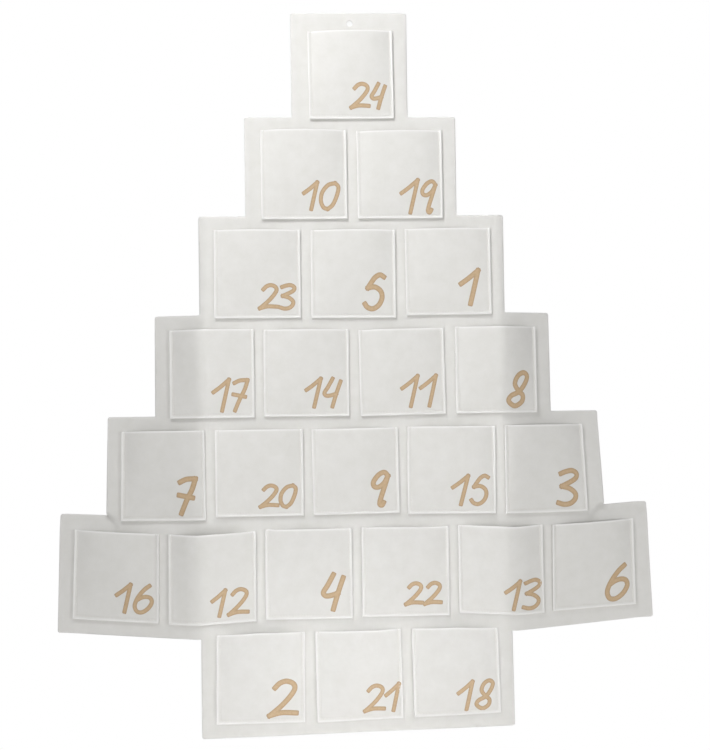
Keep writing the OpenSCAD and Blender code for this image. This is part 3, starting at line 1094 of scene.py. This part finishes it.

# %% [markdown]

# %% [markdown]
# ## Camera, light and floor
# The camera stands a little left of the middle and below it, looking slightly up, as the photograph
# was taken. Its place was solved from the corners of the pockets.

# %% Camera
IMAGE_HEIGHT = 750
FOCAL_PIXELS = 1500
CAMERA_PLACE = (-0.1075, -1.5597, -0.4190)
YAW, PITCH, ROLL = -0.0692, 0.0321, 0.0150
camera_data = bpy.data.cameras.new("camera")
camera = add_object("camera", camera_data)
camera_data.lens = FOCAL_PIXELS * camera_data.sensor_width / IMAGE_HEIGHT
level = Matrix.Rotation(math.pi / 2, 3, "X")
aim = Matrix.Rotation(YAW, 3, "Z") @ Matrix.Rotation(PITCH, 3, "X") @ Matrix.Rotation(ROLL, 3, "Y")
camera.matrix_world = Matrix.Translation(CAMERA_PLACE) @ (aim @ level).to_4x4()
bpy.context.scene.camera = camera
print("lens", round(camera_data.lens, 1), "mm")

# %% [markdown]
# The light is soft and plain. A lamp at the upper left and a soft box on either side light the felt.
# A tall strip, with a grid that keeps its beam narrow, shines on the centre only and slants, so that
# each edge casts a thin, crisp shadow. A low lamp brightens the trunk, and a panel behind keeps the
# back readable. The world looks white to the camera, but only a little of it falls on the felt.

# %% Lights
def soft_panel(name, place, target, width, height, watts, beam=180):
    data = bpy.data.lights.new(name, "AREA")
    data.shape = "RECTANGLE"
    data.size = width
    data.size_y = height
    data.energy = watts
    data.spread = math.radians(beam)
    panel = add_object(name, data)
    facing = (Vector(target) - Vector(place)).to_track_quat("-Z", "Y")
    panel.matrix_world = Matrix.Translation(place) @ facing.to_matrix().to_4x4()
    panel.visible_camera = False


soft_panel("upper lamp", (-0.35, -0.6, 0.45), (0, 0, -0.05), 0.35, 0.35, 4.85)
soft_panel("left box", (-0.9, -1.3, -0.55), (0, 0, -0.45), 0.4, 0.4, 3)
soft_panel("right box", (0.9, -1.3, -0.55), (0, 0, -0.45), 0.4, 0.4, 6)
soft_panel("gridded strip", (-0.1355, -0.297, -0.13), (0.0025, 0, -0.36), 0.2915, 0.9, 0.148, beam=3)
soft_panel("low lamp", (0.45, -0.6, -0.6), (-0.05, 0, -0.67), 0.12, 0.12, 0.017, beam=22)
soft_panel("back panel", (0.6, 1.8, 0.2), (0, 0, -0.35), 1.4, 1.4, 30)

AMBIENT = 0.188
world = bpy.data.worlds.new("white surround")
bpy.context.scene.world = world
world.use_nodes = True
sky_tree = world.node_tree
sky_tree.nodes.clear()
rays = add_node(sky_tree, "ShaderNodeLightPath").outputs
shown = rays["Is Camera Ray"]
for ray in ("Is Glossy Ray", "Is Transmission Ray"):
    either = {0: shown, 1: rays[ray]}
    shown = add_node(sky_tree, "ShaderNodeMath", either, operation="MAXIMUM").outputs[0]
level = {0: shown, 1: 1 - AMBIENT, 2: AMBIENT}
strength = add_node(sky_tree, "ShaderNodeMath", level, operation="MULTIPLY_ADD").outputs[0]
sky = add_node(sky_tree, "ShaderNodeBackground", {"Color": linear("#FFFFFF"), "Strength": strength})
add_node(sky_tree, "ShaderNodeOutputWorld", {"Surface": sky.outputs[0]})

# %% [markdown]
# The calendar hangs clear of a plain pale floor, which is a stage and not a part of it.

# %% Floor
def floor_material():
    material, tree = new_material("pale floor")
    end_material(tree, {"Base Color": linear("#F2F1EF"), "Roughness": 0.8})
    return material


FLOOR_DROP = 0.085
FLOOR_SIDE, FLOOR_FRONT, FLOOR_BACK = 1, -0.85, 0.2
floor_z = trunk_bottom - FLOOR_DROP
floor_mesh = bpy.data.meshes.new("floor")
front_corners = [(side, FLOOR_FRONT, floor_z) for side in (-FLOOR_SIDE, FLOOR_SIDE)]
back_corners = [(side, FLOOR_BACK, floor_z) for side in (FLOOR_SIDE, -FLOOR_SIDE)]
floor_mesh.from_pydata(front_corners + back_corners, [], [(0, 1, 2, 3)])
floor_mesh.materials.append(floor_material())
add_object("floor", floor_mesh)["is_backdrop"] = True
bpy.context.scene.view_settings.view_transform = "Standard"
print("floor at", round(floor_z, 3), "m")

# %% Finish
visual_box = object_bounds()
sizes = {
    "cad": [[float(c) for c in corner] for corner in cad_box],
    "visual": [[float(c) for c in corner] for corner in visual_box],
}
print("visual box", sizes["visual"])
